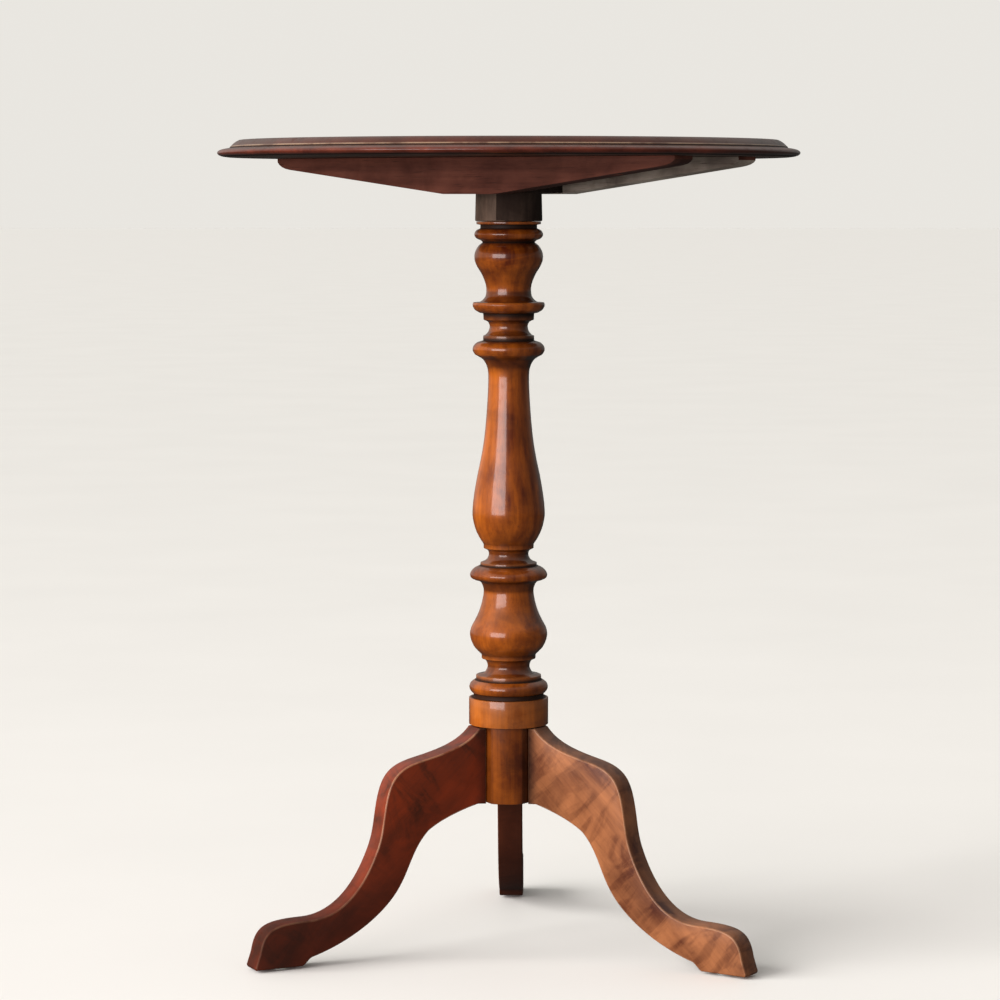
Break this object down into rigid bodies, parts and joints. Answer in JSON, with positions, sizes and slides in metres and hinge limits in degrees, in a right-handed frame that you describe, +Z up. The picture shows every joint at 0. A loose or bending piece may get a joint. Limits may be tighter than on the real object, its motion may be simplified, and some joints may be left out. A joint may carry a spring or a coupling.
{
  "type": "tilt top table",
  "caption": "Round wooden occasional table whose top tilts upright on a block at the head of a turned pillar with S-curved legs.",
  "frame": {"origin": "on the floor, on the pillar's axis", "axes": "+Z up along the pillar, -Y towards the front between the left and right legs, +Y over the back leg"},
  "size_m": [0.5106, 0.5106, 0.716],
  "materials": {
    "top_wood": "polished dark red-brown hardwood",
    "bearer_wood": "dull oiled hardwood",
    "block_wood": "unpolished grey-brown hardwood",
    "pillar_wood": "french-polished warm brown hardwood",
    "leg_wood": "polished red-brown hardwood, worn on the edges",
    "brass": "dull aged brass",
    "steel": "aged iron screws",
    "glide": "translucent grey pad"
  },
  "bodies": {
    "base": {"pillar": "pillar_wood", "pillar_block": "block_wood", "block_wedge": "pillar_wood", "strike_plate": "brass", "strike_screw_1": "brass", "strike_screw_2": "brass", "leg_left": "leg_wood", "leg_right": "leg_wood", "leg_back": "leg_wood", "glide_left": "glide", "glide_right": "glide", "glide_back": "glide"},
    "top": {"table_top": "top_wood", "bearer_near": "bearer_wood", "bearer_far": "bearer_wood", "pivot_pin_near": "steel", "pivot_pin_far": "steel", "bearer_screw_near_1": "steel", "bearer_screw_near_2": "steel", "bearer_screw_near_3": "steel", "bearer_screw_far_1": "steel", "bearer_screw_far_2": "steel", "bearer_screw_far_3": "steel", "latch_case": "brass", "latch_spring": "steel", "latch_screw_1": "brass", "latch_screw_2": "brass", "latch_screw_3": "brass", "latch_screw_4": "brass"},
    "bolt": {"latch_bolt": "brass", "latch_knob": "brass"}
  },
  "joints": [
    {"name": "top_tilt", "type": "hinge", "parent": "base", "child": "top", "pos_m": [0.00958, -0.00722, 0.679], "axis": [0.6018, 0.7986, 0], "range_deg": [0, 88]},
    {"name": "bolt_slide", "type": "slide", "parent": "top", "child": "bolt", "axis": [0.7986, -0.6018, 0], "range_m": [0, 0.006], "stiffness_N_per_m": 400, "springref_m": 0.006}
  ]
}
